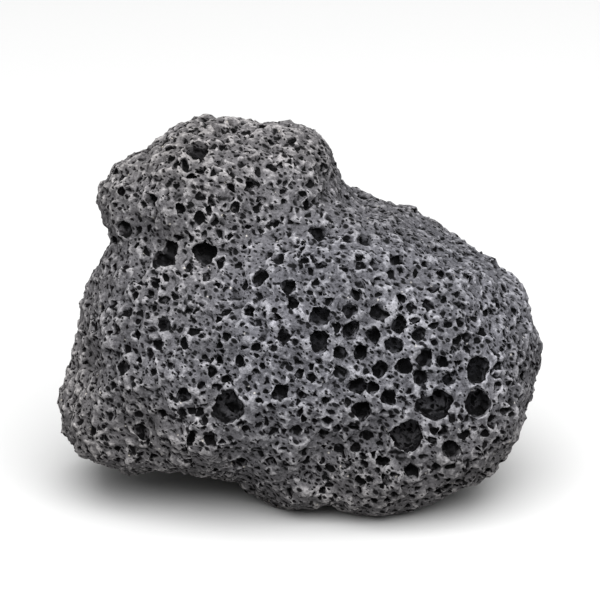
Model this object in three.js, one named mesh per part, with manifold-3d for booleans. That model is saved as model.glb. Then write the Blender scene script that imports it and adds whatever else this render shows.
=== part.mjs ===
// A loose lump of lava rock: one piece of dark vesicular basalt, about the size of a palm.
//
// The stone is a single solid. Its body is a smooth union of rounded lobes, worn back by a few broken faces
// and roughened by coarse noise, and it rests on small flats worn into its underside. The largest gas bubbles
// that the outside cuts open are real hollows in it.
//
// Millimetres, +Z up. +X runs to the right across the front face and +Y to the back. The origin is on the
// ground, under the middle of the bounding box.
import * as THREE from "three";
import { ImprovedNoise } from "three/addons/math/ImprovedNoise.js";
import { mergeVertices } from "three/addons/utils/BufferGeometryUtils.js";
import Module from "manifold-3d";

// Overall size of the finished stone.
const WIDTH = 77;
const DEPTH = 54;
const HEIGHT = 59;

// Middle of the body, from which every ray leaves it once, and the level of the worn flat below it.
const MIDDLE = new THREE.Vector3(0, 0, 29);
const GROUND_LEVEL = 3;

// Rounded lobes: centre, radii, and how softly each runs into those before it.
const BODY_LOBES = [
  { name: "core", centre: [1, 2, 27], radii: [29, 27, 23.5] },
  { name: "right_shoulder", centre: [19, 0, 24.5], radii: [18, 23, 18.4], blend: 7 },
  { name: "left_flank", centre: [-18.4, 1, 28.6], radii: [16, 21, 19], blend: 7 },
  { name: "left_foot", centre: [-28, -2, 17], radii: [10.3, 17, 10.2], blend: 5 },
  { name: "belly", centre: [-10, -6, 18.3], radii: [15, 18, 10.5], blend: 7 },
  { name: "right_foot", centre: [21.4, -6, 16.6], radii: [11.5, 16, 11.3], blend: 7 },
  { name: "left_toe", centre: [-0.8, -11, 11.9], radii: [8.5, 12, 9.4], blend: 4 },
  { name: "right_toe", centre: [11.6, -11.6, 11], radii: [10, 12.4, 9.5], blend: 3 },
  { name: "left_heel", centre: [-15, 8, 11.5], radii: [12, 12, 10], blend: 5 },
  { name: "back_heel", centre: [10, 12, 12], radii: [14, 11, 10.5], blend: 5 },
];
const CROWN_LOBES = [
  { name: "crown_left", centre: [-14.9, 3, 48.3], radii: [11.7, 15, 13.2], blend: 5 },
  { name: "crown_right", centre: [-2, 4, 49.8], radii: [8.2, 14, 10.6], blend: 4 },
  { name: "left_horn", centre: [-26.7, 2, 48.8], radii: [4.8, 8, 6.5], blend: 2.5 },
];

// Broken faces: outward direction, and distance from the middle of the body. The slope cuts the body under
// the crown, and the others cut the whole stone.
const SHOULDER_SLOPE = { normal: [0.425, 0.1, 0.905], reach: 22.7 };
const FACES = [
  { name: "front", normal: [0.05, -1, 0.3], reach: 25.5 },
  { name: "back", normal: [0.25, 1, 0.2], reach: 27 },
  { name: "back_left", normal: [-0.75, 0.65, 0.1], reach: 29 },
  { name: "back_low", normal: [0.1, 0.75, -0.65], reach: 29 },
  { name: "back_right", normal: [0.78, 0.75, 0.08], reach: 29.5 },
  { name: "crown_back", normal: [-0.1, 0.86, 0.7], reach: 29 },
];
const FACE_BLEND = 6;
const SLOPE_REACH = 0.8; // half the span over which the surface's slope is measured

// Coarse roughness: the wavelength and height of each octave.
const LUMPS = [
  { wavelength: 16, height: 1.3 },
  { wavelength: 7.5, height: 0.8 },
  { wavelength: 4.5, height: 0.4 },
];
// Keeps the noise's even lattice off the stone's own planes.
const LUMP_SHIFT = new THREE.Vector3(7.3, 2.1, 5.7);

// Large vesicles of the front face, as they are laid out on a sheet that leans back against it: across, up
// from the middle of the body, and the radius of the mouth.
const FACE_LEAN = THREE.MathUtils.degToRad(20);
const FRONT_VESICLES = [
  [-16, 26, 1.6],
  [-20.5, 9.5, 1.7],
  [-15, 10.5, 1.7],
  [2.5, 13.5, 2],
  [2.5, 0.7, 1.4],
  [2.5, -3.1, 1.5],
  [-21, -0.5, 1.3],
  [-27, -7, 1.4],
  [-11, -13, 2.4],
  [-10, -21.5, 1.5],
  [8.5, -9.5, 1.4],
  [9, -13.5, 1.6],
  [16, -17.5, 2.7],
  [20, -12.5, 2.7],
  [26.5, -12.5, 2.2],
  [26.5, -7.5, 2],
  [22.5, -19.5, 1.5],
];

// Vesicles of the other sides, spread evenly over the stone and then jostled.
const HIDDEN_VESICLES = { spread: 52, mouths: [1.4, 2.6], jostle: 0.16, seed: 12 };
const FRONT_SHARE = -0.1; // of a surface's turn to the front: past it the front's own vesicles take over
const UNDERSIDE_SHARE = -0.72; // of a ray that points down: past it the worn flat stays whole

const VESICLE_SINK = 0.35; // how far a vesicle's centre lies under the surface, as a share of its radius
const VESICLE_STRETCH = [0.85, 1.15];

const SKIN_DETAIL = 13; // subdivisions of the icosahedron that the body's rays follow
const BROAD_VESICLE = 1.8; // from this radius a vesicle has the finer facets
const RAY_LENGTH = 70;
const RAY_STEP = 0.5;
const RAY_HALVINGS = 24;
const STONE_COLOUR = 0x5b5b5f;

const noise = new ImprovedNoise();

// Numbers from 0 to 1 that are the same on every run.
function seededRandom(seed) {
  let state = seed;
  return () => {
    state = (Math.imul(state, 1664525) + 1013904223) >>> 0;
    return state / 2 ** 32;
  };
}

function between([low, high], share) {
  return low + (high - low) * share;
}

// The lower of a and b, rounded over a width k where they meet.
function smoothMin(a, b, k) {
  const overlap = Math.max(k - Math.abs(a - b), 0);
  return Math.min(a, b) - (overlap * overlap) / (4 * k);
}

function smoothMax(a, b, k) {
  return -smoothMin(-a, -b, k);
}

// Near enough to the distance from a lobe's surface, negative inside it.
function lobeDistance(p, { centre, radii }) {
  const q = p.toArray().map((value, axis) => (value - centre[axis]) / radii[axis]);
  return (Math.hypot(...q) - 1) * Math.min(...radii);
}

function faceDistance(p, { normal, reach }) {
  const outward = new THREE.Vector3(...normal).normalize();
  return p.clone().sub(MIDDLE).dot(outward) - reach;
}

function lumpHeight(p) {
  return LUMPS.reduce((sum, { wavelength, height }) => {
    const q = p.clone().divideScalar(wavelength).add(LUMP_SHIFT);
    return sum + height * noise.noise(q.x, q.y, q.z);
  }, 0);
}

// Distance from the outside of the body, negative within it.
function bodyDistance(p) {
  const [core, ...others] = BODY_LOBES;
  let distance = lobeDistance(p, core);
  for (const lobe of others) distance = smoothMin(distance, lobeDistance(p, lobe), lobe.blend);
  distance = smoothMax(distance, faceDistance(p, SHOULDER_SLOPE), FACE_BLEND);
  for (const lobe of CROWN_LOBES) distance = smoothMin(distance, lobeDistance(p, lobe), lobe.blend);
  for (const face of FACES) distance = smoothMax(distance, faceDistance(p, face), FACE_BLEND);
  return distance + lumpHeight(p);
}

// Where a ray from outside first meets the body.
function surfaceAlong(origin, direction) {
  const at = (t) => origin.clone().addScaledVector(direction, t);
  let inside = 0;
  while (inside < 2 * RAY_LENGTH && bodyDistance(at(inside)) > 0) inside += RAY_STEP;
  let outside = inside - RAY_STEP;
  for (let i = 0; i < RAY_HALVINGS; i++) {
    const half = (outside + inside) / 2;
    if (bodyDistance(at(half)) > 0) outside = half;
    else inside = half;
  }
  return at(inside);
}

// The outward direction of the body's surface at a point on it.
function outwardAt(p) {
  const slope = (axis) => {
    const step = new THREE.Vector3().setComponent(axis, SLOPE_REACH);
    return bodyDistance(p.clone().add(step)) - bodyDistance(p.clone().sub(step));
  };
  return new THREE.Vector3(slope(0), slope(1), slope(2)).normalize();
}

// The body's skin: an icosahedron's points, each drawn in from outside along its own ray.
function bodyGeometry() {
  const geometry = new THREE.IcosahedronGeometry(1, SKIN_DETAIL);
  const points = geometry.getAttribute("position");
  for (let i = 0; i < points.count; i++) {
    const ray = new THREE.Vector3().fromBufferAttribute(points, i).normalize();
    const hit = surfaceAlong(MIDDLE.clone().addScaledVector(ray, RAY_LENGTH), ray.negate());
    points.setXYZ(i, hit.x, hit.y, hit.z);
  }
  return geometry;
}

// The directions of the leaning sheet: square into the stone, and up along the sheet.
const INTO_FRONT = new THREE.Vector3(0, Math.cos(FACE_LEAN), -Math.sin(FACE_LEAN));
const UP_FRONT = new THREE.Vector3(0, Math.sin(FACE_LEAN), Math.cos(FACE_LEAN));

// Where the front's vesicles open: each is carried square from its sheet onto the stone.
function frontMouths() {
  return FRONT_VESICLES.map(([across, up, radius]) => {
    const start = MIDDLE.clone().addScaledVector(UP_FRONT, up).addScaledVector(INTO_FRONT, -RAY_LENGTH);
    start.x += across;
    return { at: surfaceAlong(start, INTO_FRONT), radius };
  });
}

// Where the vesicles of the other sides open: along rays that wind round the stone at an even spacing.
function hiddenMouths() {
  const { spread, mouths, jostle, seed } = HIDDEN_VESICLES;
  const random = seededRandom(seed);
  const goldenAngle = Math.PI * (3 - Math.sqrt(5));
  const found = [];
  for (let i = 0; i < spread; i++) {
    const height = 1 - (2 * (i + 0.5)) / spread;
    const ring = Math.sqrt(1 - height * height);
    const ray = new THREE.Vector3(ring * Math.cos(i * goldenAngle), ring * Math.sin(i * goldenAngle), height);
    ray.add(new THREE.Vector3(random() - 0.5, random() - 0.5, random() - 0.5).multiplyScalar(2 * jostle));
    ray.normalize();
    const radius = between(mouths, random() ** 2);
    const at = surfaceAlong(MIDDLE.clone().addScaledVector(ray, RAY_LENGTH), ray.clone().negate());
    if (-outwardAt(at).dot(INTO_FRONT) > FRONT_SHARE || ray.z < UNDERSIDE_SHARE) continue;
    found.push({ at, radius });
  }
  return found;
}

// One bubble: a slightly squashed sphere, turned at random and sunk a little under the surface.
function vesicleGeometry({ at, radius }, random) {
  const geometry = new THREE.IcosahedronGeometry(radius, radius < BROAD_VESICLE ? 1 : 2);
  geometry.scale(between(VESICLE_STRETCH, random()), between(VESICLE_STRETCH, random()), 1);
  geometry.rotateX(random() * Math.PI);
  geometry.rotateZ(random() * Math.PI);
  const centre = at.clone().addScaledVector(outwardAt(at), -VESICLE_SINK * radius);
  geometry.translate(centre.x, centre.y, centre.z);
  return geometry;
}

const wasm = await Module();
wasm.setup();

function solidFrom(geometry) {
  const bare = geometry.clone();
  bare.deleteAttribute("normal");
  bare.deleteAttribute("uv");
  const merged = mergeVertices(bare, 1e-3);
  return new wasm.Manifold(
    new wasm.Mesh({
      numProp: 3,
      vertProperties: merged.getAttribute("position").array,
      triVerts: new Uint32Array(merged.index.array),
    }),
  );
}

function geometryFrom(solid) {
  const mesh = solid.getMesh();
  const geometry = new THREE.BufferGeometry();
  geometry.setAttribute("position", new THREE.BufferAttribute(mesh.vertProperties, 3));
  geometry.setIndex(new THREE.BufferAttribute(mesh.triVerts, 1));
  return geometry;
}

// Everything below the level that the underside is worn to.
function groundGeometry() {
  const geometry = new THREE.BoxGeometry(3 * WIDTH, 3 * DEPTH, HEIGHT);
  geometry.translate(0, 0, GROUND_LEVEL - HEIGHT / 2);
  return geometry;
}

// Brings the stone to its overall size, standing on the ground with the origin under its middle.
function fitToSize(geometry) {
  geometry.computeBoundingBox();
  const box = geometry.boundingBox;
  const middle = box.getCenter(new THREE.Vector3());
  const size = box.getSize(new THREE.Vector3());
  geometry.translate(-middle.x, -middle.y, -box.min.z);
  geometry.scale(WIDTH / size.x, DEPTH / size.y, HEIGHT / size.z);
  return geometry;
}

function lavaRock() {
  const random = seededRandom(HIDDEN_VESICLES.seed + 1);
  let stone = solidFrom(bodyGeometry()).subtract(solidFrom(groundGeometry()));
  for (const mouth of [...frontMouths(), ...hiddenMouths()]) {
    stone = stone.subtract(solidFrom(vesicleGeometry(mouth, random)));
  }
  const geometry = fitToSize(geometryFrom(stone));
  geometry.computeVertexNormals();
  const material = new THREE.MeshStandardMaterial({ color: STONE_COLOUR, roughness: 0.95, metalness: 0 });
  const mesh = new THREE.Mesh(geometry, material);
  mesh.name = "lava_rock";
  return mesh;
}

const part = new THREE.Group();
part.add(lavaRock());

export default part;
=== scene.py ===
"""Looks of one loose lump of lava rock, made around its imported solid.

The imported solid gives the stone's size, its outline and its largest gas bubbles. Here its skin is roughened,
some thousands of smaller bubbles are cut open in it by Geometry Nodes, and it is dressed as vesicular basalt.
Lengths are in millimetres, unless a docstring says otherwise, and are turned to metres by MM.
"""

import logging
import math
from dataclasses import dataclass
from enum import Enum
from typing import Any

import bmesh
import bpy
from mathutils import Matrix, Vector

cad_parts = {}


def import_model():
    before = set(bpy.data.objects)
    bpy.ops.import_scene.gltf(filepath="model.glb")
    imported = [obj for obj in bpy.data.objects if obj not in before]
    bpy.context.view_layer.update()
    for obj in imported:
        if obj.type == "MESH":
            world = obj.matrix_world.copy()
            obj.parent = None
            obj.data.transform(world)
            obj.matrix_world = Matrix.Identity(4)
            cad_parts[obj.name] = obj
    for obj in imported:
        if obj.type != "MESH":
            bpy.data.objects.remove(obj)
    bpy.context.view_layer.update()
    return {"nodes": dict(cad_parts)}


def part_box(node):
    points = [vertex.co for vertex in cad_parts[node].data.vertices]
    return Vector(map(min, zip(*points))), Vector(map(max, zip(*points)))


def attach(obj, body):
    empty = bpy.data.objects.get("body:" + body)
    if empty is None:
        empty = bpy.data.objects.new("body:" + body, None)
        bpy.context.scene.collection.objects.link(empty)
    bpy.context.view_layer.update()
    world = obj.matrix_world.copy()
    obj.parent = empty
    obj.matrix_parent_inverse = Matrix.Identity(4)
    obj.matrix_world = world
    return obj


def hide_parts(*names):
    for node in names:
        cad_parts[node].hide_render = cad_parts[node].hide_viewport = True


NODE = "lava_rock"
MM = 0.001
CM = 0.01
# Noise runs from 0 to 1 about a middle, and most of it lies in a narrower span.
NOISE_MIDDLE = 0.5
NOISE_SPAN = (0.3, 0.7)
# The level of a distance grid at which its surface lies.
SURFACE = 0.0
# Settings of a Map Range node that eases in and out.
EASED = {"interpolation_type": "SMOOTHSTEP"}
# Settings of a node that handles one number for each point.
POINT_NUMBER = {"data_type": "FLOAT", "domain": "POINT"}
# Which output of a Mix node is its colour, and which of a Random Value node is its number.
MIXED_COLOUR = 2
RANDOM_NUMBER = 1

LOG = logging.getLogger(NODE)

Object = bpy.types.Object
Mesh = bpy.types.Mesh
Material = bpy.types.Material
Socket = bpy.types.NodeSocket
Tree = bpy.types.NodeTree
Node = bpy.types.Node
Span = tuple[float, float]
Place = tuple[float, float, float]


def add_node(tree: Tree, kind: str, settings: dict[str, Any] | None = None,
             inputs: dict[str | int, Any] | None = None) -> Node:
    """Adds one node, sets its properties, and fills or links its inputs.

    Args:
        tree: The node tree that the node joins.
        kind: The node's type name.
        settings: Property names and their values.
        inputs: Socket names, identifiers or places, each with a value or the socket that feeds it.

    Returns:
        The new node.
    """
    node = tree.nodes.new(kind)
    for name, value in (settings or {}).items():
        setattr(node, name, value)
    for key, value in (inputs or {}).items():
        if isinstance(key, int):
            socket = node.inputs[key]
        else:
            socket = next(s for s in node.inputs if s.enabled and key in (s.identifier, s.name))
        if isinstance(value, Socket):
            tree.links.new(value, socket)
        else:
            socket.default_value = value
    return node


def linear(hex_colour: str) -> tuple[float, float, float, float]:
    """Turns an sRGB colour, as a hash sign and six hex digits, to linear with an alpha of 1."""
    channels = [int(hex_colour[i:i + 2], 16) / 255 for i in (1, 3, 5)]
    return (*[c / 12.92 if c <= 0.04045 else ((c + 0.055) / 1.055) ** 2.4 for c in channels], 1.0)


def per_metre(size: float) -> float:
    """Gives the scale at which a pattern's features are a size in millimetres."""
    return 1 / (size * MM)


def in_metres(place: Place) -> Place:
    """Turns a place or a set of three lengths from millimetres to metres."""
    return tuple(value * MM for value in place)


def new_object(name: str, data: bpy.types.ID) -> Object:
    """Puts a mesh, lamp or camera in the scene as an object at the origin.

    Args:
        name: The object's name.
        data: Its mesh, lamp or camera.

    Returns:
        The object.
    """
    made = bpy.data.objects.new(name, data)
    bpy.context.scene.collection.objects.link(made)
    return made


def evaluated_mesh(thing: Object) -> Mesh:
    """Makes a plain mesh of an object and its modifiers.

    Args:
        thing: The object, which is left as it was.

    Returns:
        The mesh that its modifiers give.
    """
    bpy.context.view_layer.update()
    graph = bpy.context.evaluated_depsgraph_get()
    return bpy.data.meshes.new_from_object(
        thing.evaluated_get(graph), preserve_all_data_layers=True, depsgraph=graph)


class StoneTree:
    """A Geometry Nodes tree with named inputs, and the values that it is run with."""

    KINDS = {
        int: "NodeSocketInt",
        float: "NodeSocketFloat",
        tuple: "NodeSocketVector",
        Object: "NodeSocketObject",
        Material: "NodeSocketMaterial",
    }

    def __init__(self, name: str, material: Material, values: dict[str, Any]) -> None:
        """Starts the tree.

        Args:
            name: The tree's name.
            material: The material that its surface ends in.
            values: Names of its other inputs, and their values in metres and radians.
        """
        self.values = {**values, "Material": material}
        self.tree = bpy.data.node_groups.new(name, "GeometryNodeTree")
        self.tree.interface.new_socket("Geometry", in_out="INPUT", socket_type="NodeSocketGeometry")
        for label, value in self.values.items():
            self.tree.interface.new_socket(label, in_out="INPUT", socket_type=self.KINDS[type(value)])
        self.tree.interface.new_socket("Geometry", in_out="OUTPUT", socket_type="NodeSocketGeometry")
        self.given = add_node(self.tree, "NodeGroupInput").outputs

    def add(self, kind: str, settings: dict[str, Any] | None = None,
            inputs: dict[str | int, Any] | None = None) -> Node:
        """Adds one node to the tree, as add_node does."""
        return add_node(self.tree, kind, settings, inputs)

    def end(self, mesh: Socket) -> None:
        """Ends the tree in real faces that wear the material.

        Args:
            mesh: The surface that the tree gives.
        """
        real = self.add("GeometryNodeRealizeInstances", {}, {"Geometry": mesh}).outputs[0]
        dressed = self.add("GeometryNodeSetMaterial", {}, {
            "Geometry": real, "Material": self.given["Material"]}).outputs[0]
        self.add("NodeGroupOutput", {}, {"Geometry": dressed})

    def run(self, thing: Object) -> Mesh:
        """Runs the tree on an object.

        Args:
            thing: The object, which is left as it was.

        Returns:
            The tree's result, as a plain mesh.
        """
        modifier = thing.modifiers.new(self.tree.name, "NODES")
        modifier.node_group = self.tree
        for item in self.tree.interface.items_tree:
            if item.in_out == "INPUT" and item.name in self.values:
                modifier[item.identifier] = self.values[item.name]
        mesh = evaluated_mesh(thing)
        thing.modifiers.remove(modifier)
        return mesh


class Patch(Enum):
    """Where on the stone a crop of bubbles lies."""

    SKIN = "the stone's outer skin"
    BACK = "the skin away from the front, which has no marked bubbles"
    FOAM = "the patches of the skin where the foam is open"
    WALLS = "the walls inside the larger bubbles"


@dataclass(frozen=True)
class Bubbles:
    """One crop of gas bubbles that the surface cuts open.

    Attributes:
        name: What the crop is called among a tree's inputs.
        patch: Where they lie.
        crowding: How many there are to a square centimetre before those too close to another go.
        closest: The least distance between two of them.
        radii: The least and the greatest radius.
        skew: How much commoner the small ones are than the large ones, 1 for even.
        sink: How deep their middles lie, as a share of the radius.
        wall: The least stone left between them and larger bubbles, unless they are in those.
        seed: Seed of their places and sizes.
    """

    name: str
    patch: Patch
    crowding: float
    closest: float
    radii: Span
    skew: float
    sink: float
    wall: float
    seed: int

    def inputs(self) -> dict[str, Any]:
        """Gives the crop's sizes and its seed as inputs of a tree.

        Returns:
            Names and values, with lengths in metres.
        """
        sizes = {"closest": self.closest, "least radius": self.radii[0], "greatest radius": self.radii[1]}
        if self.patch is not Patch.WALLS:
            sizes["wall"] = self.wall
        named = {f"{self.name} {part}": size * MM for part, size in sizes.items()}
        return {f"{self.name} seed": self.seed, **named}


@dataclass(frozen=True)
class Mark:
    """A bubble with a place of its own on the front.

    Attributes:
        across: How far to the right of the middle it lies, on a sheet that leans back against the front.
        up: How far up the sheet it lies from the middle.
        radius: Its radius.
    """

    across: float
    up: float
    radius: float


# The bubbles of the front that the eye picks out, as across, up and radius. The larger ones round off
# hollows of the solid.
FRONT_MARKS = [
    Mark(*row)
    for row in (
        # The great bowls, low on the front.
        (20.8, -13.6, 2.9), (16.6, -18.7, 2.9), (27.3, -13.6, 2.2), (27.3, -8.5, 2.0), (-10.9, -14.1, 2.7),
        # The crown.
        (-16.0, 25.0, 1.9), (-22.8, 17.9, 1.1), (-18.4, 16.2, 1.0), (-7.7, 20.1, 1.05), (-27.3, 13.5, 1.05),
        # The dip under the crown.
        (-21.2, 8.2, 1.8), (-20.0, 10.1, 1.4), (-15.0, 9.7, 1.9),
        # Down the middle.
        (-3.1, 8.2, 1.05), (-5.8, 5.5, 1.4), (-1.7, 4.1, 1.2), (-1.1, 1.7, 1.15), (-7.7, 0.2, 1.05),
        (2.9, -0.2, 1.5), (2.9, -4.0, 1.6), (-2.4, -3.6, 1.15),
        # The shoulder.
        (9.8, 11.3, 1.1), (14.7, 8.4, 1.2),
        # The open foam on the right.
        (7.6, 0.4, 1.1), (12.2, 0.1, 1.35), (15.4, -1.7, 1.35), (7.9, -2.4, 1.35), (11.2, -3.4, 1.2),
        (6.2, -6.0, 1.15), (9.1, -5.7, 1.15), (14.4, -5.0, 1.35), (16.1, -7.9, 1.4), (19.0, -6.7, 1.25),
        (21.9, -7.2, 1.1), (12.0, -8.4, 1.2), (6.0, -8.9, 1.2), (8.9, -10.7, 1.4), (11.3, -11.2, 1.05),
        (13.7, -13.0, 1.25), (18.5, -9.7, 1.2), (23.0, -10.0, 1.2), (9.4, -14.7, 1.7),
        # Below the foam.
        (17.2, -24.3, 1.35), (12.8, -22.7, 1.15), (23.4, -20.8, 1.6), (29.7, -16.6, 1.0),
        # The left side and its foot.
        (-21.1, -1.5, 1.2), (-24.7, -18.1, 1.25), (-17.7, -12.3, 1.15), (-16.9, -19.1, 1.1),
        (-14.0, -19.3, 1.15), (-10.0, -22.8, 1.5), (-3.0, -12.0, 1.4),
        # Small ones all over.
        (-21.8, -4.7, 0.9), (-26.8, 0.3, 0.8), (-28.2, -2.3, 0.75), (-25.2, -3.3, 0.85),
        (-13.5, -8.9, 0.85), (-9.4, -7.4, 0.8), (0.3, -12.0, 0.85), (0.6, -21.3, 0.85),
        (-4.2, -22.6, 0.95), (-2.2, -23.3, 0.95), (-0.5, -18.1, 0.8), (3.4, -18.6, 0.95),
        (28.6, -18.6, 0.85), (20.9, -23.9, 0.85), (-15.5, 14.7, 0.8), (-27.9, 18.8, 0.75),
        (-12.1, 7.9, 0.8), (-14.5, 5.6, 0.75), (7.3, 11.4, 0.75), (4.6, 2.1, 0.8),
        (20.9, 3.8, 0.85), (19.7, 1.1, 0.85), (24.5, -1.3, 0.75), (11.4, 7.4, 0.85),
        (-10.9, -3.3, 0.75), (6.1, -21.0, 0.8), (10.1, -18.6, 0.8), (8.2, -17.0, 0.75),
    )
]


@dataclass(frozen=True)
class VesicularBasalt:
    """Vesicular basalt, broken and tumbled: the colours and grit of lava rock.

    The eye gets a dull charcoal stone with no shine. Painted shade darkens its bubbles and pinholes inside,
    the edges between them are rubbed pale and carry a painted highlight, and a patch of painted shade darkens
    the shoulder. Its skin is peppered with pinholes, with a few pale flecks of feldspar. Where the foam is
    open the stone is fresh and faintly blue, and away from there it is weathered and faintly warm.

    Attributes:
        rib: The colour of the edges between bubbles, rubbed pale, with a painted highlight.
        skin: The colour of the skin away from the pale ribs and the painted shade of the pits.
        pore_shade: The colour of the painted shade inside a pinhole or a small bubble.
        hollow_shade: The colour of the painted shade inside a large bubble.
        bubble_floor: The colour of a large bubble's floor, below the painted shade of its walls.
        warm: The tint of weathered stone.
        cool: The tint of fresh stone.
        fleck: The colour of a fleck of feldspar.
        roughness: How matt the stone is.
        gloss: How much it mirrors, which is next to nothing.
        rib_wear_and_highlight: How far a point stands proud as it turns from skin to the pale rib, rubbed and
            with a painted highlight.
        cavity_shade: How far a point lies low as it turns to the painted shade of a small bubble.
        hollow_shade_depth: How deep a point lies as it turns to the painted shade of a large bubble.
        bubble_floor_depth: How deep a point lies as it turns from the painted shade of a large bubble to its
            paler floor.
        grit: The size of the grains.
        grit_tones: What the grit multiplies the colour by, from dark grains to pale ones.
        grit_roughness: How strong the grit's finer octaves are.
        mottle: The size of the cloudy patches.
        mottle_tones: What the mottling multiplies the colour by, from dark patches to pale ones.
        detail: How many finer octaves each noise has.
        flow_tilt: How far down to the right the lava flowed as it set, in degrees.
        flow_stretch: How much longer than wide the flow drew the pinholes.
        pinhole_spacings: The spacing of each size of pinhole.
        pinhole_radii: The least and the greatest radius, as shares of the spacing.
        pinhole_edge: Half the width of a pinhole's soft edge, as a share of the spacing.
        fleck_spacing: The spacing of the flecks.
        fleck_radius: A fleck's radius and the radius of its full colour, as shares of the spacing.
        fresh_centre: The middle of the freshly broken face, which is the least weathered.
        fresh_radii: The half-widths of an egg around it, outside which the stone is fully weathered.
        fresh_share: The share of those radii within which the stone is fresh.
        tint_wander: By what share of those radii noise shifts that, and the size of its patches.
        shoulder_shade_centre: The middle of a patch of painted shade on the shoulder.
        shoulder_shade_reach: How far from there the painted shade is full, and where it ends.
        shoulder_shade_tone: What the full painted shade multiplies the colour by.
        bump: How deep the grit and the pinholes seem.
    """

    rib: str = "#69696c"
    skin: str = "#454548"
    pore_shade: str = "#0d0d0e"
    hollow_shade: str = "#1a1a1c"
    bubble_floor: str = "#454548"
    warm: str = "#fffaf3"
    cool: str = "#fcfcff"
    fleck: str = "#817f7b"
    roughness: float = 0.93
    gloss: float = 0.05
    rib_wear_and_highlight: Span = (0.08, 0.3)
    cavity_shade: Span = (-0.06, -0.3)
    hollow_shade_depth: Span = (0.5, 1.8)
    bubble_floor_depth: Span = (2.9, 3.9)
    # Real grit is a tenth of a millimetre; it is drawn five times as coarse, to show.
    grit: float = 0.5
    grit_tones: Span = (0.5, 1.5)
    grit_roughness: float = 0.65
    mottle: float = 8.0
    mottle_tones: Span = (0.78, 1.22)
    detail: float = 3.0
    flow_tilt: float = 40.0
    flow_stretch: float = 1.7
    pinhole_spacings: tuple[float, ...] = (1.0, 0.6)
    pinhole_radii: Span = (0.03, 0.41)
    pinhole_edge: float = 0.1
    fleck_spacing: float = 2.4
    fleck_radius: Span = (0.09, 0.055)
    fresh_centre: Place = (12.0, -20.0, 32.0)
    fresh_radii: Place = (56.0, 60.0, 31.0)
    fresh_share: float = 0.35
    tint_wander: Span = (0.6, 22.0)
    shoulder_shade_centre: Place = (18.0, 4.0, 50.0)
    shoulder_shade_reach: Span = (8.0, 24.0)
    shoulder_shade_tone: float = 0.72
    bump: float = 0.3

    def material(self) -> Material:
        """Builds the stone's material.

        Returns:
            The material, which reads Object coordinates and the mesh's own attributes of depth and proudness,
            from which it paints shade in the bubbles and a highlight on the ribs.
        """
        made = bpy.data.materials.new("tumbled_vesicular_basalt")
        made.use_nodes = True
        tree = made.node_tree
        tree.nodes.clear()
        place = add_node(tree, "ShaderNodeTexCoord").outputs["Object"]
        grit = add_node(tree, "ShaderNodeTexNoise", {}, {
            "Vector": place, "Scale": per_metre(self.grit), "Detail": self.detail,
            "Roughness": self.grit_roughness}).outputs["Fac"]
        sound = self.add_sound_skin(tree, place)
        height = add_node(tree, "ShaderNodeMath", {"operation": "ADD"}, {0: grit, 1: sound}).outputs[0]
        bump = add_node(tree, "ShaderNodeBump", {}, {"Height": height, "Distance": self.bump * MM})
        colour = add_node(tree, "ShaderNodeVectorMath", {"operation": "MULTIPLY"}, {
            0: self.add_stone_colour(tree, place, sound), 1: self.add_tint(tree, place, grit)}).outputs[0]
        shader = add_node(tree, "ShaderNodeBsdfPrincipled", {}, {
            "Base Color": colour, "Roughness": self.roughness, "Specular IOR Level": self.gloss,
            "Normal": bump.outputs["Normal"]})
        add_node(tree, "ShaderNodeOutputMaterial", {}, {"Surface": shader.outputs["BSDF"]})
        return made

    def add_sound_skin(self, tree: Tree, place: Socket) -> Socket:
        """Adds nodes for pinholes of mixed sizes, drawn out along the flow.

        Args:
            tree: The material's tree.
            place: Object coordinates.

        Returns:
            0 inside a pinhole, and 1 on the sound skin around it.
        """
        drawn = add_node(tree, "ShaderNodeMapping", {"vector_type": "TEXTURE"}, {
            "Vector": place, "Rotation": (0, math.radians(self.flow_tilt), 0),
            "Scale": (self.flow_stretch, 1, 1)}).outputs[0]
        sound: Socket | float = 1.0
        for spacing in self.pinhole_spacings:
            cells = add_node(tree, "ShaderNodeTexVoronoi", {}, {"Vector": drawn, "Scale": per_metre(spacing)})
            radius = add_node(tree, "ShaderNodeMapRange", {}, {
                "Value": cells.outputs["Color"], "To Min": self.pinhole_radii[0],
                "To Max": self.pinhole_radii[1]}).outputs["Result"]
            beyond = add_node(tree, "ShaderNodeMath", {"operation": "SUBTRACT"}, {
                0: cells.outputs["Distance"], 1: radius}).outputs[0]
            outside = add_node(tree, "ShaderNodeMapRange", EASED, {
                "Value": beyond, "From Min": -self.pinhole_edge,
                "From Max": self.pinhole_edge}).outputs["Result"]
            sound = add_node(tree, "ShaderNodeMath", {"operation": "MULTIPLY"}, {
                0: sound, 1: outside}).outputs[0]
        return sound

    def add_stone_colour(self, tree: Tree, place: Socket, sound: Socket) -> Socket:
        """Adds nodes for the stone's colour, from its pale ribs, rubbed and with a painted highlight, to the
        painted shade in its bubbles.

        Args:
            tree: The material's tree.
            place: Object coordinates.
            sound: 0 in a pinhole, and 1 around it.

        Returns:
            The colour.
        """
        fleck = add_node(tree, "ShaderNodeTexVoronoi", {}, {
            "Vector": place, "Scale": per_metre(self.fleck_spacing)}).outputs["Distance"]
        on_fleck = add_node(tree, "ShaderNodeMapRange", EASED, {
            "Value": fleck, "From Min": self.fleck_radius[0],
            "From Max": self.fleck_radius[1]}).outputs["Result"]
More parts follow.
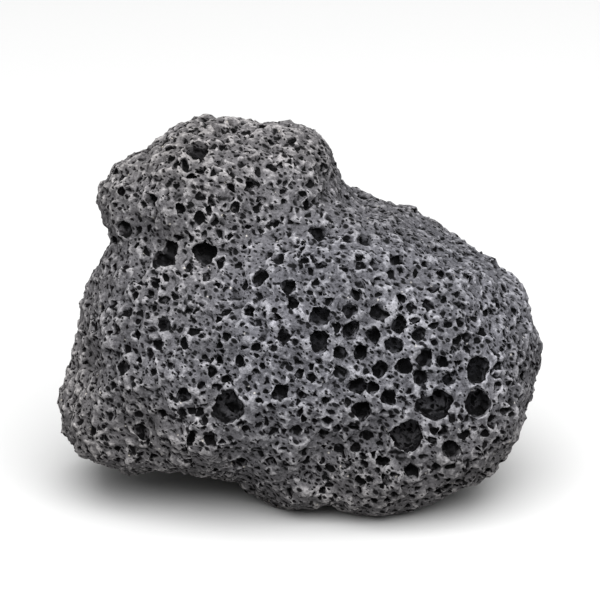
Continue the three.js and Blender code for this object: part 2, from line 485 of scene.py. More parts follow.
        # The pinholes are dents of the bump, painted dark as painted shade.
        pinhole = add_node(tree, "ShaderNodeMath", {"operation": "SUBTRACT"}, {0: 1.0, 1: sound}).outputs[0]
        layers = (
            # Pale ribs: rubbed stone, with a painted highlight where they stand proud.
            (self.add_crossing(tree, "wear", self.rib_wear_and_highlight), self.rib),
            (on_fleck, self.fleck),
            # Painted shade that deepens down into a large bubble.
            (self.add_crossing(tree, "depth", self.hollow_shade_depth), self.hollow_shade),
            # Deep in a large bubble the painted shade gives way to a paler floor.
            (self.add_crossing(tree, "depth", self.bubble_floor_depth), self.bubble_floor),
            # Painted shade: dark in the pinholes, and in the small bubbles where a point lies low.
            (pinhole, self.pore_shade),
            (self.add_crossing(tree, "wear", self.cavity_shade), self.pore_shade),
        )
        colour = linear(self.skin)
        for share, layer in layers:
            colour = add_node(tree, "ShaderNodeMix", {"data_type": "RGBA"}, {
                "Factor": share, "A_Color": colour, "B_Color": linear(layer)}).outputs[MIXED_COLOUR]
        return colour

    def add_crossing(self, tree: Tree, attribute: str, span: Span) -> Socket:
        """Adds nodes for how far one of the mesh's own attributes has crossed a span.

        Args:
            tree: The material's tree.
            attribute: The attribute's name.
            span: The values of it at which the share is 0 and 1.

        Returns:
            A share from 0 to 1.
        """
        value = add_node(tree, "ShaderNodeAttribute", {"attribute_name": attribute}).outputs["Fac"]
        return add_node(tree, "ShaderNodeMapRange", EASED, {
            "Value": value, "From Min": span[0] * MM, "From Max": span[1] * MM}).outputs["Result"]

    def add_tint(self, tree: Tree, place: Socket, grit: Socket) -> Socket:
        """Adds nodes for what multiplies the stone's colour: its weathering, the painted shade on its
        shoulder, its mottling and grit.

        Args:
            tree: The material's tree.
            place: Object coordinates.
            grit: Noise of the grit.

        Returns:
            The tint.
        """
        mottle = add_node(tree, "ShaderNodeTexNoise", {}, {
            "Vector": place, "Scale": per_metre(self.mottle), "Detail": self.detail}).outputs["Fac"]
        # The first of these is painted shade on the shoulder; the mottling and grit are the stone's own tones.
        shades = [self.add_shoulder_shade(tree, place)]
        for pattern, tones in ((mottle, self.mottle_tones), (grit, self.grit_tones)):
            shades.append(add_node(tree, "ShaderNodeMapRange", {}, {
                "Value": pattern, "From Min": NOISE_SPAN[0], "From Max": NOISE_SPAN[1], "To Min": tones[0],
                "To Max": tones[1]}).outputs["Result"])
        tint = self.add_weathering(tree, place)
        for shade in shades:
            tint = add_node(tree, "ShaderNodeVectorMath", {"operation": "SCALE"}, {
                "Vector": tint, "Scale": shade}).outputs[0]
        return tint

    def add_weathering(self, tree: Tree, place: Socket) -> Socket:
        """Adds nodes for the tint of fresh and of weathered stone, in wandering patches.

        Args:
            tree: The material's tree.
            place: Object coordinates.

        Returns:
            The cool tint on the fresh face, and the warm one away from it.
        """
        wander, patch = self.tint_wander
        patches = add_node(tree, "ShaderNodeTexNoise", {}, {
            "Vector": place, "Scale": per_metre(patch), "Detail": self.detail}).outputs["Fac"]
        shift = add_node(tree, "ShaderNodeMapRange", {"clamp": False}, {
            "Value": patches, "To Min": -NOISE_MIDDLE * wander,
            "To Max": NOISE_MIDDLE * wander}).outputs["Result"]
        offset = add_node(tree, "ShaderNodeVectorMath", {"operation": "SUBTRACT"}, {
            0: place, 1: in_metres(self.fresh_centre)}).outputs[0]
        shares = add_node(tree, "ShaderNodeVectorMath", {"operation": "DIVIDE"}, {
            0: offset, 1: in_metres(self.fresh_radii)}).outputs[0]
        away = add_node(tree, "ShaderNodeVectorMath", {"operation": "LENGTH"}, {0: shares}).outputs["Value"]
        reach = add_node(tree, "ShaderNodeMath", {"operation": "ADD"}, {0: away, 1: shift}).outputs[0]
        weathered = add_node(tree, "ShaderNodeMapRange", {}, {
            "Value": reach, "From Min": self.fresh_share}).outputs["Result"]
        return add_node(tree, "ShaderNodeMix", {"data_type": "RGBA"}, {
            "Factor": weathered, "A_Color": linear(self.cool),
            "B_Color": linear(self.warm)}).outputs[MIXED_COLOUR]

    def add_shoulder_shade(self, tree: Tree, place: Socket) -> Socket:
        """Adds nodes for the painted shade on the shoulder.

        Args:
            tree: The material's tree.
            place: Object coordinates.

        Returns:
            The painted shade's tone in its middle, and 1 away from it.
        """
        away = add_node(tree, "ShaderNodeVectorMath", {"operation": "DISTANCE"}, {
            0: place, 1: in_metres(self.shoulder_shade_centre)}).outputs["Value"]
        return add_node(tree, "ShaderNodeMapRange", EASED, {
            "Value": away, "From Min": self.shoulder_shade_reach[0] * MM, "From Max": self.shoulder_shade_reach[1] * MM,
            "To Min": self.shoulder_shade_tone}).outputs["Result"]


@dataclass(frozen=True)
class MattPaint:
    """Matt emulsion, rolled: a plain floor with no shine, which the lamp brings up to a pale white.

    Attributes:
        colour: The paint's colour.
        roughness: How matt it is.
    """

    colour: str = "#989898"
    roughness: float = 0.9

    def material(self) -> Material:
        """Builds the paint's material.

        Returns:
            The material.
        """
        made = bpy.data.materials.new("rolled_matt_emulsion")
        made.use_nodes = True
        shader = made.node_tree.nodes["Principled BSDF"]
        shader.inputs["Base Color"].default_value = linear(self.colour)
        shader.inputs["Roughness"].default_value = self.roughness
        return made


@dataclass(frozen=True)
class Roughening:
    """Rounds of noise that push a surface about, and fade out at the floor so that none of it goes under.

    Attributes:
        rounds: The wavelength and the full height of each round.
        along_normal: Whether points move along their normals only, or any way.
        free_height: The height above the floor from which the push is full.
        detail: How many finer octaves each round has.
    """

    rounds: tuple[Span, ...]
    along_normal: bool
    free_height: float = 3.0
    detail: float = 1.0

    def inputs(self) -> dict[str, float]:
        """Gives the sizes of the rounds as inputs of a tree.

        Returns:
            Names and lengths in metres.
        """
        sizes = {"Free height": self.free_height * MM}
        for number, (wavelength, height) in enumerate(self.rounds, 1):
            sizes[f"Round {number} wavelength"] = wavelength * MM
            sizes[f"Round {number} height"] = height * MM
        return sizes

    def add(self, tree: StoneTree, mesh: Socket) -> Socket:
        """Adds nodes that push a surface about.

        Args:
            tree: The tree, which has the inputs that the rounds ask for.
            mesh: The surface.

        Returns:
            The pushed surface.
        """
        place = tree.add("GeometryNodeInputPosition").outputs[0]
        level = tree.add("ShaderNodeSeparateXYZ", {}, {"Vector": place}).outputs["Z"]
        freedom = tree.add("ShaderNodeMapRange", {}, {
            "Value": level, "From Max": tree.given["Free height"]}).outputs["Result"]
        for number in range(1, len(self.rounds) + 1):
            scale = tree.add("ShaderNodeMath", {"operation": "DIVIDE"}, {
                0: 1.0, 1: tree.given[f"Round {number} wavelength"]}).outputs[0]
            noise = tree.add("ShaderNodeTexNoise", {}, {
                "Vector": place, "Scale": scale, "Detail": self.detail})
            way = self.add_way(tree, noise)
            height = tree.add("ShaderNodeMath", {"operation": "MULTIPLY"}, {
                0: tree.given[f"Round {number} height"], 1: freedom}).outputs[0]
            push = tree.add("ShaderNodeVectorMath", {"operation": "SCALE"}, {
                "Vector": way, "Scale": height}).outputs[0]
            mesh = tree.add("GeometryNodeSetPosition", {}, {"Geometry": mesh, "Offset": push}).outputs[0]
        return mesh

    def add_way(self, tree: StoneTree, noise: Node) -> Socket:
        """Adds nodes for which way, and by what share of the height, one round of noise pushes.

        Args:
            tree: The tree.
            noise: The round's noise.

        Returns:
            A direction, at most about half a unit long.
        """
        if not self.along_normal:
            return tree.add("ShaderNodeVectorMath", {"operation": "SUBTRACT"}, {
                0: noise.outputs["Color"], 1: (NOISE_MIDDLE, NOISE_MIDDLE, NOISE_MIDDLE)}).outputs[0]
        share = tree.add("ShaderNodeMath", {"operation": "SUBTRACT"}, {
            0: noise.outputs["Fac"], 1: NOISE_MIDDLE}).outputs[0]
        normal = tree.add("GeometryNodeInputNormal").outputs[0]
        return tree.add("ShaderNodeVectorMath", {"operation": "SCALE"}, {
            "Vector": normal, "Scale": share}).outputs[0]


@dataclass
class Skin:
    """The stone's outer skin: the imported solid's surface, rounded and made lumpy.

    Attributes:
        solid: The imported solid.
        material: The stone's material.
        rim_angle: The least angle, in degrees, of an edge that stays sharp.
        smoothing: How many times the facets are split and rounded.
        weld: How near two corners of loose triangles are joined.
        lumps: The lumps that the noise raises.
    """

    solid: Object
    material: Material
    rim_angle: float = 50.0
    smoothing: int = 2
    weld: float = 0.001
    lumps: Roughening = Roughening(((13.0, 2.2), (6.0, 1.7), (3.0, 0.8)), along_normal=True)

    def build(self) -> Object:
        """Makes the skin.

        Returns:
            The skin, a closed surface with the solid's largest bubbles in it.
        """
        body = new_object("stone_body", self.merged_body())
        skin = new_object("stone_skin", self.tree().run(body))
        bpy.data.objects.remove(body)
        LOG.info("skin: %d faces", len(skin.data.polygons))
        return skin

    def merged_body(self) -> Mesh:
        """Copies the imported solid's mesh, with its loose triangles joined.

        Returns:
            The copy.
        """
        work = bmesh.new()
        work.from_mesh(self.solid.data)
        bmesh.ops.remove_doubles(work, verts=work.verts, dist=self.weld * MM)
        mesh = bpy.data.meshes.new("stone_body")
        work.to_mesh(mesh)
        work.free()
        return mesh

    def tree(self) -> StoneTree:
        """Builds the tree that rounds the solid's facets, keeps the rims of its bubbles, and makes it lumpy.

        Returns:
            The tree.
        """
        tree = StoneTree("stone_skin", self.material, {
            "Rim angle": math.radians(self.rim_angle), "Smoothing": self.smoothing, **self.lumps.inputs()})
        angle = tree.add("GeometryNodeInputMeshEdgeAngle").outputs["Unsigned Angle"]
        rim = tree.add("FunctionNodeCompare", {"operation": "GREATER_THAN"}, {
            "A": angle, "B": tree.given["Rim angle"]}).outputs[0]
        smooth = tree.add("GeometryNodeSubdivisionSurface", {}, {
            "Mesh": tree.given["Geometry"], "Level": tree.given["Smoothing"], "Edge Crease": rim}).outputs[0]
        tree.end(self.lumps.add(tree, smooth))
        return tree


@dataclass
class Envelope:
    """The stone's outside with every bubble closed, from which depths are measured.

    Attributes:
        material: The stone's material.
        closing: How far the skin is swollen and shrunk back, which closes all bubbles of up to this radius.
        voxel: The voxel size.
        spare: How many voxels the distance grid goes on past the swollen skin.
    """

    material: Material
    closing: float = 2.6
    voxel: float = 0.5
    spare: int = 2

    def build(self, skin: Object) -> Object:
        """Makes the envelope of a skin."""
        return new_object("stone_envelope", self.tree().run(skin))

    def tree(self) -> StoneTree:
        """Builds the tree that closes the bubbles.

        Returns:
            The tree.
        """
        tree = StoneTree("stone_envelope", self.material, {
            "Closing": self.closing * MM,
            "Voxel": self.voxel * MM,
            "Band width": math.ceil(self.closing / self.voxel) + self.spare,
        })
        outward = tree.given["Closing"]
        inward = tree.add("ShaderNodeMath", {"operation": "MULTIPLY"}, {0: outward, 1: -1.0}).outputs[0]
        mesh = tree.given["Geometry"]
        for level in (outward, inward):
            grid = tree.add("GeometryNodeMeshToSDFGrid", {}, {
                "Mesh": mesh, "Voxel Size": tree.given["Voxel"],
                "Band Width": tree.given["Band width"]}).outputs[0]
            mesh = tree.add("GeometryNodeGridToMesh", {}, {"Grid": grid, "Threshold": level}).outputs[0]
        tree.end(mesh)
        return tree


@dataclass
class Pitting:
    """The smaller gas bubbles that the surface cuts open.

    Attributes:
        material: The stone's material.
        voxel: The voxel size of the distance grid that they are cut from.
        band: How many voxels the grid reaches to either side of the surface.
        rim_depth: The depth past which the surface is a bubble's wall.
        warp: The noise that makes the round bubbles ragged.
        lean: How far back the sheet of the front's marks leans, in degrees.
        sheet_rise: The height of the sheet's middle, as a share of the stone's.
        ray: How far a mark is carried onto the stone.
        mark_sink: How deep the marked bubbles' middles lie, as a share of the radius.
        patch_size: The wavelength of the noise that makes patches of open foam on the back.
        patch_span: The values of that noise over which a patch opens.
        patch_detail: How many finer octaves that noise has.
        back_start: Where along Y the back starts, and where it is all back.
        foam_centre: The middle of the front's patch of open foam.
        foam_reach: How far that patch is fully open, and where it ends.
        close_grain: How small the bubbles are where the foam is closed, as a share.
        crops: The crops of bubbles, the largest first.
    """

    material: Material
    voxel: float = 0.26
    band: int = 3
    rim_depth: float = 0.55
    warp: Roughening = Roughening(((2.6, 1.9), (1.1, 0.8), (0.6, 0.3)), along_normal=False)
    lean: float = 20.0
    sheet_rise: float = 0.455
    ray: float = 200.0
    mark_sink: float = 0.5
    patch_size: float = 24.0
    patch_span: Span = (0.5, 0.68)
    patch_detail: float = 2.0
    back_start: Span = (-6.0, 6.0)
    foam_centre: Place = (18.0, -22.0, 23.0)
    foam_reach: Span = (10.0, 17.0)
    close_grain: float = 0.85
    # Each row gives name, patch, crowding, closest, radii, skew, sink, wall and seed.
    crops: tuple[Bubbles, ...] = (
        Bubbles("Medium", Patch.BACK, 2.0, 3.6, (0.9, 1.5), 1.5, 0.45, 0.8, 3),
        Bubbles("Foam", Patch.FOAM, 60.0, 1.7, (0.5, 0.9), 1.0, 0.5, 0.3, 5),
        Bubbles("Small", Patch.SKIN, 30.0, 1.25, (0.4, 0.9), 1.7, 0.5, 0.3, 7),
        Bubbles("Fine", Patch.SKIN, 44.0, 1.1, (0.32, 0.5), 1.0, 0.4, 0.15, 11),
        Bubbles("Wall", Patch.WALLS, 30.0, 1.0, (0.3, 0.5), 1.0, 0.1, 0.0, 13),
    )

    def build(self, skin: Object, envelope: Object) -> Object:
        """Cuts every bubble.

        Args:
            skin: The stone's outer skin.
            envelope: Its outside with every bubble closed.

        Returns:
            The pitted stone, as one closed surface.
        """
        marks = new_object("front_marks", self.marks_mesh(skin))
        pitted = new_object("stone_pitted", self.tree(marks, envelope).run(skin))
        bpy.data.objects.remove(marks)
        LOG.info("pitting: %d crops and %d marked bubbles", len(self.crops), len(FRONT_MARKS))
        return pitted

    def directions(self) -> tuple[Vector, Vector]:
        """Gives unit vectors out of and up the sheet that leans back against the stone's front."""
        lean = math.radians(self.lean)
        return Vector((0, -math.cos(lean), math.sin(lean))), Vector((0, math.sin(lean), math.cos(lean)))

    def marks_mesh(self, skin: Object) -> Mesh:
        """Makes a point for each marked bubble, on the sheet in front of the stone, with its radius.

        Args:
            skin: The stone's outer skin, in front of which the sheet stands.

        Returns:
            A mesh of loose points.
        """
        places = [vertex.co for vertex in skin.data.vertices]
        height = max(p.z for p in places) - min(p.z for p in places)
        depth = max(p.y for p in places) - min(p.y for p in places)
        out, up = self.directions()
        middle = Vector((0, 0, self.sheet_rise * height)) + out * depth
        points = [middle + (Vector((m.across, 0, 0)) + up * m.up) * MM for m in FRONT_MARKS]
        mesh = bpy.data.meshes.new("front_marks")
        mesh.from_pydata(points, [], [])
        radius = mesh.attributes.new("radius", "FLOAT", "POINT")
        radius.data.foreach_set("value", [m.radius * MM for m in FRONT_MARKS])
        return mesh

    def inputs(self, marks: Object, envelope: Object) -> dict[str, Any]:
        """Gives the pitting's sizes as inputs of a tree.

        Args:
            marks: The points of the marked bubbles.
            envelope: The stone's outside with every bubble closed.

        Returns:
            Names and values, with lengths in metres.
        """
        lengths = {
            "Voxel": self.voxel, "Rim depth": self.rim_depth, "Ray length": self.ray,
            "Patch size": self.patch_size, "Back start": self.back_start[0], "Back end": self.back_start[1],
            "Foam open": self.foam_reach[0], "Foam end": self.foam_reach[1],
        }
        values = {
            "Marks": marks,
            "Envelope": envelope,
            "Band width": self.band,
            "Foam centre": in_metres(self.foam_centre),
            **{name: length * MM for name, length in lengths.items()},
            **self.warp.inputs(),
        }
        for crop in self.crops:
            values.update(crop.inputs())
        return values

    def tree(self, marks: Object, envelope: Object) -> StoneTree:
        """Builds the tree that cuts the bubbles open, the largest first, so that later ones keep off them.

        Args:
            marks: The points of the marked bubbles.
            envelope: The stone's outside with every bubble closed.

        Returns:
            The tree.
        """
        tree = StoneTree("stone_pitting", self.material, self.inputs(marks, envelope))
        skin = tree.given["Geometry"]
        closed = tree.add("GeometryNodeObjectInfo", {}, {
            "Object": tree.given["Envelope"]}).outputs["Geometry"]
        grid = tree.add("GeometryNodeMeshToSDFGrid", {}, {
            "Mesh": skin, "Voxel Size": tree.given["Voxel"],
            "Band Width": tree.given["Band width"]}).outputs[0]
        grid = self.add_marks(tree, closed, grid)
        for crop in self.crops:
            skin = tree.add("GeometryNodeGridToMesh", {}, {"Grid": grid, "Threshold": SURFACE}).outputs[0]
            grid = self.add_crop(tree, skin, closed, grid, crop)
        skin = tree.add("GeometryNodeGridToMesh", {}, {"Grid": grid, "Threshold": SURFACE}).outputs[0]
        tree.end(self.add_largest_island(tree, self.warp.add(tree, skin)))
        return tree

    def add_cut(self, tree: StoneTree, grid: Socket, points: Socket, radius: Socket) -> Socket:
        """Adds nodes that take a ball away from a distance grid at each point.

        Args:
            tree: The tree.
            grid: The stone so far, as a distance grid.
            points: The middles of the balls.
            radius: Their radius.

        Returns:
            The grid without the balls.
        """
        balls = tree.add("GeometryNodePointsToSDFGrid", {}, {
            "Points": points, "Radius": radius, "Voxel Size": tree.given["Voxel"]}).outputs[0]
        return tree.add("GeometryNodeSDFGridBoolean", {"operation": "DIFFERENCE"}, {
            "Grid 1": grid, "Grid 2": balls}).outputs[0]

    def add_marks(self, tree: StoneTree, closed: Socket, grid: Socket) -> Socket:
        """Adds nodes that carry the marked bubbles square from their sheet onto the stone and cut them.

        Args:
            tree: The tree.
            closed: The envelope's surface.
            grid: The stone so far, as a distance grid.

        Returns:
            The grid without the marked bubbles.
        """
        into = -self.directions()[0]
        source = tree.add("GeometryNodeObjectInfo", {}, {"Object": tree.given["Marks"]}).outputs["Geometry"]
        radius = tree.add("GeometryNodeInputNamedAttribute", {"data_type": "FLOAT"}, {
            "Name": "radius"}).outputs[0]
        points = tree.add("GeometryNodeMeshToPoints", {}, {"Mesh": source, "Radius": radius}).outputs[0]
        hit = tree.add("GeometryNodeRaycast", {}, {
            "Target Geometry": closed, "Ray Direction": into, "Ray Length": tree.given["Ray length"]})
        depth = tree.add("ShaderNodeMath", {"operation": "MULTIPLY"}, {
            0: radius, 1: self.mark_sink}).outputs[0]
        inward = tree.add("ShaderNodeVectorMath", {"operation": "SCALE"}, {
            "Vector": into, "Scale": depth}).outputs[0]
        seated = tree.add("GeometryNodeSetPosition", {}, {
            "Geometry": points, "Position": hit.outputs["Hit Position"], "Offset": inward}).outputs[0]
        return self.add_cut(tree, grid, seated, radius)

    def add_behind(self, tree: StoneTree) -> Socket:
        """Adds nodes for how far round to the back a place lies.

        Args:
            tree: The tree.

        Returns:
            0 on the front, and 1 at the back.
        """
        place = tree.add("GeometryNodeInputPosition").outputs[0]
        along = tree.add("ShaderNodeSeparateXYZ", {}, {"Vector": place}).outputs["Y"]
        return tree.add("ShaderNodeMapRange", EASED, {
            "Value": along, "From Min": tree.given["Back start"],
            "From Max": tree.given["Back end"]}).outputs["Result"]

    def add_foaminess(self, tree: StoneTree) -> Socket:
        """Adds nodes for how open the foam is at a place.

        The front has one open patch, low on its right, and the back has patches wherever a noise is high.

        Args:
            tree: The tree.

        Returns:
            0 where the foam is closed, and 1 where it is open.
        """
        place = tree.add("GeometryNodeInputPosition").outputs[0]
        scale = tree.add("ShaderNodeMath", {"operation": "DIVIDE"}, {
            0: 1.0, 1: tree.given["Patch size"]}).outputs[0]
        noise = tree.add("ShaderNodeTexNoise", {}, {
            "Vector": place, "Scale": scale, "Detail": self.patch_detail}).outputs["Fac"]
        high = tree.add("ShaderNodeMapRange", EASED, {
            "Value": noise, "From Min": self.patch_span[0],
            "From Max": self.patch_span[1]}).outputs["Result"]
        patchy = tree.add("ShaderNodeMath", {"operation": "MULTIPLY"}, {
            0: high, 1: self.add_behind(tree)}).outputs[0]
        away = tree.add("ShaderNodeVectorMath", {"operation": "DISTANCE"}, {
            0: place, 1: tree.given["Foam centre"]}).outputs["Value"]
        near = tree.add("ShaderNodeMapRange", EASED, {
            "Value": away, "From Min": tree.given["Foam end"],
            "From Max": tree.given["Foam open"]}).outputs["Result"]
        return tree.add("ShaderNodeMath", {"operation": "MAXIMUM"}, {0: patchy, 1: near}).outputs[0]

    def add_density(self, tree: StoneTree, patch: Patch) -> Socket | float:
        """Adds nodes for how thickly a crop lies at a place.

        Args:
            tree: The tree.
            patch: Where the crop lies.

        Returns:
            A share from 0 to 1.
        """
        if patch is Patch.FOAM:
            return self.add_foaminess(tree)
        if patch is Patch.BACK:
            return self.add_behind(tree)
        return 1.0

    def add_crop(self, tree: StoneTree, skin: Socket, closed: Socket, grid: Socket, crop: Bubbles) -> Socket:
        """Adds nodes that cut one crop of bubbles.

        Args:
            tree: The tree.
            skin: The stone's surface so far.
            closed: The envelope's surface.
            grid: The stone so far, as a distance grid.
            crop: The bubbles.

        Returns:
            The grid without the bubbles.
        """
        depth = tree.add("GeometryNodeProximity", {"target_element": "FACES"}, {"Geometry": closed})
        in_bubble = tree.add("FunctionNodeCompare", {"operation": "GREATER_THAN"}, {
            "A": depth.outputs["Distance"], "B": tree.given["Rim depth"]}).outputs[0]
        parts = tree.add("GeometryNodeSeparateGeometry", {"domain": "FACE"}, {
            "Geometry": skin, "Selection": in_bubble})
        walls, outside = parts.outputs["Selection"], parts.outputs["Inverted"]
        radius = tree.add("GeometryNodeInputNamedAttribute", {"data_type": "FLOAT"}, {
            "Name": "radius"}).outputs[0]
        if crop.patch is Patch.WALLS:
            points = self.add_scatter(tree, walls, radius, crop)
        else:
            points = self.add_scatter(tree, outside, radius, crop)
            points = self.add_thinning(tree, points, walls, radius, tree.given[f"{crop.name} wall"])
        return self.add_cut(tree, grid, points, radius)

    def add_scatter(self, tree: StoneTree, faces: Socket, radius: Socket, crop: Bubbles) -> Socket:
        """Adds nodes that scatter one crop's middles over a surface and sink them into the stone.

        Args:
            tree: The tree.
            faces: The part of the surface that the crop lies on.
            radius: The radius that each point holds.
            crop: The bubbles.

        Returns:
            The middles, each with its radius.
        """
        scatter = tree.add("GeometryNodeDistributePointsOnFaces", {"distribute_method": "POISSON"}, {
            "Mesh": faces,
            "Distance Min": tree.given[f"{crop.name} closest"],
            "Density Max": crop.crowding / CM ** 2,
            "Density Factor": self.add_density(tree, crop.patch),
            "Seed": tree.given[f"{crop.name} seed"]})
        noted = tree.add("GeometryNodeStoreNamedAttribute", POINT_NUMBER, {
            "Geometry": scatter.outputs["Points"], "Name": "radius",
            "Value": self.add_radius(tree, crop)}).outputs[0]
        sink = tree.add("ShaderNodeMath", {"operation": "MULTIPLY"}, {0: radius, 1: -crop.sink}).outputs[0]
        inward = tree.add("ShaderNodeVectorMath", {"operation": "SCALE"}, {
            "Vector": scatter.outputs["Normal"], "Scale": sink}).outputs[0]
        return tree.add("GeometryNodeSetPosition", {}, {"Geometry": noted, "Offset": inward}).outputs[0]

    def add_radius(self, tree: StoneTree, crop: Bubbles) -> Socket:
        """Adds nodes for the radius of each bubble of a crop, smaller where the foam is closed.

        Args:
            tree: The tree.
            crop: The bubbles.

        Returns:
            The radius.
        """
        share = tree.add("FunctionNodeRandomValue", {"data_type": "FLOAT"}, {
            "Seed": tree.given[f"{crop.name} seed"]}).outputs[RANDOM_NUMBER]
        skewed = tree.add("ShaderNodeMath", {"operation": "POWER"}, {0: share, 1: crop.skew}).outputs[0]
        radius = tree.add("ShaderNodeMapRange", {}, {
            "Value": skewed, "To Min": tree.given[f"{crop.name} least radius"],
            "To Max": tree.given[f"{crop.name} greatest radius"]}).outputs["Result"]
        grain = tree.add("ShaderNodeMapRange", {}, {
            "Value": self.add_foaminess(tree), "To Min": self.close_grain}).outputs["Result"]
        return tree.add("ShaderNodeMath", {"operation": "MULTIPLY"}, {0: radius, 1: grain}).outputs[0]

    def add_thinning(self, tree: StoneTree, points: Socket, walls: Socket, radius: Socket,
                     wall: Socket) -> Socket:
        """Adds nodes that drop the bubbles which would break through to a larger one.

        Args:
            tree: The tree.
            points: The middles of the bubbles.
            walls: The walls of the larger bubbles.
            radius: The bubbles' radius.
            wall: The least stone left between.

        Returns:
            The points that stay.
        """
        gap = tree.add("GeometryNodeProximity", {"target_element": "FACES"}, {
            "Geometry": walls}).outputs["Distance"]
        needed = tree.add("ShaderNodeMath", {"operation": "ADD"}, {0: radius, 1: wall}).outputs[0]
        crowded = tree.add("FunctionNodeCompare", {"operation": "LESS_THAN"}, {
            "A": gap, "B": needed}).outputs[0]
        return tree.add("GeometryNodeDeleteGeometry", {"domain": "POINT"}, {
            "Geometry": points, "Selection": crowded}).outputs[0]

    def add_largest_island(self, tree: StoneTree, mesh: Socket) -> Socket:
        """Adds nodes that keep only the largest joined piece of a mesh, so no crumb or sealed bubble is left.

        Args:
            tree: The tree.
            mesh: The mesh.

        Returns:
            Its largest piece.
        """
        island = tree.add("GeometryNodeInputMeshIsland").outputs["Island Index"]
        size = tree.add("GeometryNodeAccumulateField", POINT_NUMBER, {
            "Value": 1.0, "Group Index": island}).outputs["Total"]
        largest = tree.add("GeometryNodeAttributeStatistic", POINT_NUMBER, {
            "Geometry": mesh, "Attribute": size}).outputs["Max"]
        small = tree.add("FunctionNodeCompare", {"operation": "LESS_THAN"}, {
            "A": size, "B": largest}).outputs[0]
        return tree.add("GeometryNodeDeleteGeometry", {"domain": "POINT"}, {
            "Geometry": mesh, "Selection": small}).outputs[0]


@dataclass
class LavaRock:
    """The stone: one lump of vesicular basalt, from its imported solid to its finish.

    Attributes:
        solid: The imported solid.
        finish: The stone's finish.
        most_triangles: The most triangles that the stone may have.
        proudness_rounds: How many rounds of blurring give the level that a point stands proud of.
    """

    solid: Object
    finish: VesicularBasalt = VesicularBasalt()
    most_triangles: int = 197_000
    # Rounds of blurring for how far a point stands proud, which gives the ribs' rubbing and painted highlight
    # and the small bubbles' painted shade.
    proudness_rounds: int = 4

    def build(self) -> Object:
        """Makes the whole stone.

        Returns:
            The finished stone, a plain mesh at the origin.
        """
        material = self.finish.material()
        skin = Skin(self.solid, material).build()
        envelope = Envelope(material).build(skin)
        pitted = Pitting(material).build(skin, envelope)
        thinned = new_object("stone_thinned", self.thinned(pitted))
        stone = new_object("vesicular_lava_rock", self.finish_tree(material, envelope).run(thinned))
        for spare in (skin, envelope, pitted, thinned):
            bpy.data.objects.remove(spare)
        LOG.info("%s: %d triangles", stone.name, len(stone.data.polygons))
        return stone

    def thinned(self, pitted: Object) -> Mesh:
        """Collapses the least needed edges, down to the most triangles that the stone may have.

        Args:
            pitted: The pitted stone, which is left as it was.

        Returns:
            The thinned mesh.
        """
        triangles = sum(len(face.vertices) - 2 for face in pitted.data.polygons)
        modifier = pitted.modifiers.new("thin", "DECIMATE")
        modifier.ratio = min(1.0, self.most_triangles / triangles)
        modifier.use_collapse_triangulate = True
        mesh = evaluated_mesh(pitted)
        pitted.modifiers.remove(modifier)
        return mesh

    def finish_tree(self, material: Material, envelope: Object) -> StoneTree:
        """Builds the tree that notes each point's depth and how far it stands proud, and smooths the shading.

        Args:
            material: The stone's material, which reads what is noted.
            envelope: The stone's outside with every bubble closed.

        Returns:
            The tree.
        """
        tree = StoneTree("stone_finish", material, {"Envelope": envelope, "Wear rounds": self.proudness_rounds})
        closed = tree.add("GeometryNodeObjectInfo", {}, {
            "Object": tree.given["Envelope"]}).outputs["Geometry"]
        depth = tree.add("GeometryNodeProximity", {"target_element": "FACES"}, {
            "Geometry": closed}).outputs["Distance"]
        place = tree.add("GeometryNodeInputPosition").outputs[0]
        normal = tree.add("GeometryNodeInputNormal").outputs[0]
        blurred = tree.add("GeometryNodeBlurAttribute", {"data_type": "FLOAT_VECTOR"}, {
            "Value": place, "Iterations": tree.given["Wear rounds"]}).outputs[0]
        proud = tree.add("ShaderNodeVectorMath", {"operation": "SUBTRACT"}, {0: place, 1: blurred}).outputs[0]
        # How far a point stands proud of its neighbours, from which the material paints the ribs' highlight
        # and the small bubbles' shade.
        wear = tree.add("ShaderNodeVectorMath", {"operation": "DOT_PRODUCT"}, {
            0: proud, 1: normal}).outputs["Value"]
        mesh = tree.given["Geometry"]
        for name, value in (("depth", depth), ("wear", wear)):
            mesh = tree.add("GeometryNodeStoreNamedAttribute", POINT_NUMBER, {
                "Geometry": mesh, "Name": name, "Value": value}).outputs[0]
        tree.end(tree.add("GeometryNodeSetShadeSmooth", {}, {
            "Geometry": mesh, "Shade Smooth": True}).outputs[0])
        return tree


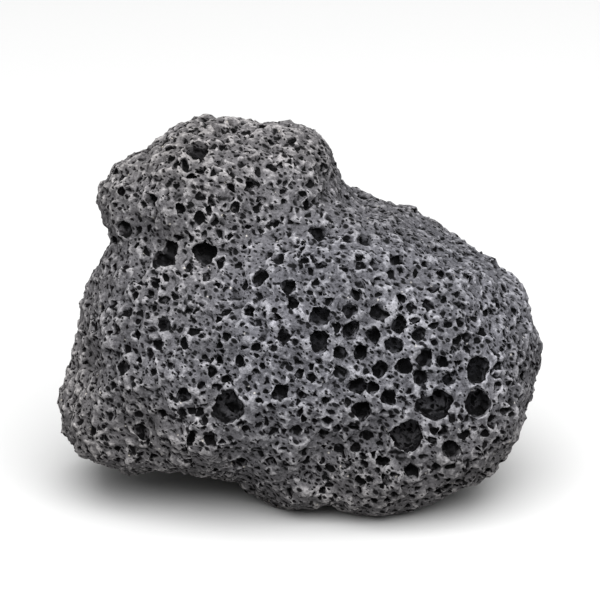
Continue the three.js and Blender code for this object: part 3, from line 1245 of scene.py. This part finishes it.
@dataclass
class Studio:
    """A pale floor, soft light from above, and the camera. Lengths in metres, angles in degrees.

    Attributes:
        floor_size: The floor's side.
        lamp_place: Where the lamp hangs.
        lamp_size: The lamp's side.
        lamp_watts: Its power.
        fill: The strength of the even light from all round.
        fill_colour: Its colour.
        azimuth: How far round to the right the camera stands.
        elevation: How far up it stands.
        lens: The lens's focal length in millimetres.
        sensor: The sensor's width in millimetres.
        filling: How much of the frame's width the stone takes.
        paint: The floor's finish.
    """

    floor_size: float = 6.0
    lamp_place: Place = (0.05, -0.4, 0.9)
    lamp_size: float = 1.4
    lamp_watts: float = 50.0
    fill: float = 0.76
    fill_colour: str = "#ffffff"
    azimuth: float = 0.0
    elevation: float = 20.0
    lens: float = 200.0
    sensor: float = 36.0
    filling: float = 0.8
    paint: MattPaint = MattPaint()

    def floor(self) -> Object:
        """Lays the floor under the stone.

        Returns:
            The floor.
        """
        half = self.floor_size / 2
        mesh = bpy.data.meshes.new("studio_floor")
        corners = [(-half, -half, 0), (half, -half, 0), (half, half, 0), (-half, half, 0)]
        mesh.from_pydata(corners, [], [(0, 1, 2, 3)])
        mesh.materials.append(self.paint.material())
        return new_object("studio_floor", mesh)

    def aim(self, thing: Object, place: Vector, target: Vector) -> None:
        """Puts a lamp or the camera at a place, turned to a target."""
        turn = (place - target).to_track_quat("Z", "Y").to_matrix().to_4x4()
        thing.matrix_world = Matrix.Translation(place) @ turn

    def lights(self) -> None:
        """Hangs one broad soft lamp above the front, and lights the rest evenly from all round."""
        lamp = bpy.data.lights.new("overhead_softbox", "AREA")
        lamp.size = self.lamp_size
        lamp.energy = self.lamp_watts
        self.aim(new_object(lamp.name, lamp), Vector(self.lamp_place), Vector())
        world = bpy.data.worlds.new("studio")
        world.use_nodes = True
        background = world.node_tree.nodes["Background"]
        background.inputs["Color"].default_value = linear(self.fill_colour)
        background.inputs["Strength"].default_value = self.fill
        bpy.context.scene.world = world

    def camera(self, low: Vector, high: Vector) -> None:
        """Sets the camera on the middle of the stone, with tones shown as they are.

        Args:
            low: The lowest corner of the stone's box.
            high: The highest corner of the stone's box.
        """
        data = bpy.data.cameras.new("camera")
        data.lens = self.lens
        data.sensor_width = self.sensor
        data.clip_end = self.floor_size
        azimuth, elevation = math.radians(self.azimuth), math.radians(self.elevation)
        level = Vector((math.sin(azimuth), -math.cos(azimuth), 0))
        away = level * math.cos(elevation) + Vector((0, 0, math.sin(elevation)))
        middle = (low + high) / 2
        distance = (high.x - low.x) / self.filling * self.lens / self.sensor
        camera = new_object("camera", data)
        self.aim(camera, middle + away * distance, middle)
        bpy.context.scene.camera = camera
        bpy.context.scene.view_settings.view_transform = "Standard"


def main() -> None:
    """Builds the stone and its studio."""
    logging.basicConfig(level=logging.INFO, format="%(name)s: %(message)s")
    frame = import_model()
    studio = Studio()
    studio.camera(*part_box(NODE))
    stone = LavaRock(frame["nodes"][NODE]).build()
    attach(stone, "root")
    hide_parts(NODE)
    floor = studio.floor()
    studio.lights()
    LOG.info("%s: %.1f m square, under one lamp", floor.name, studio.floor_size)


if __name__ == "__main__":
    main()
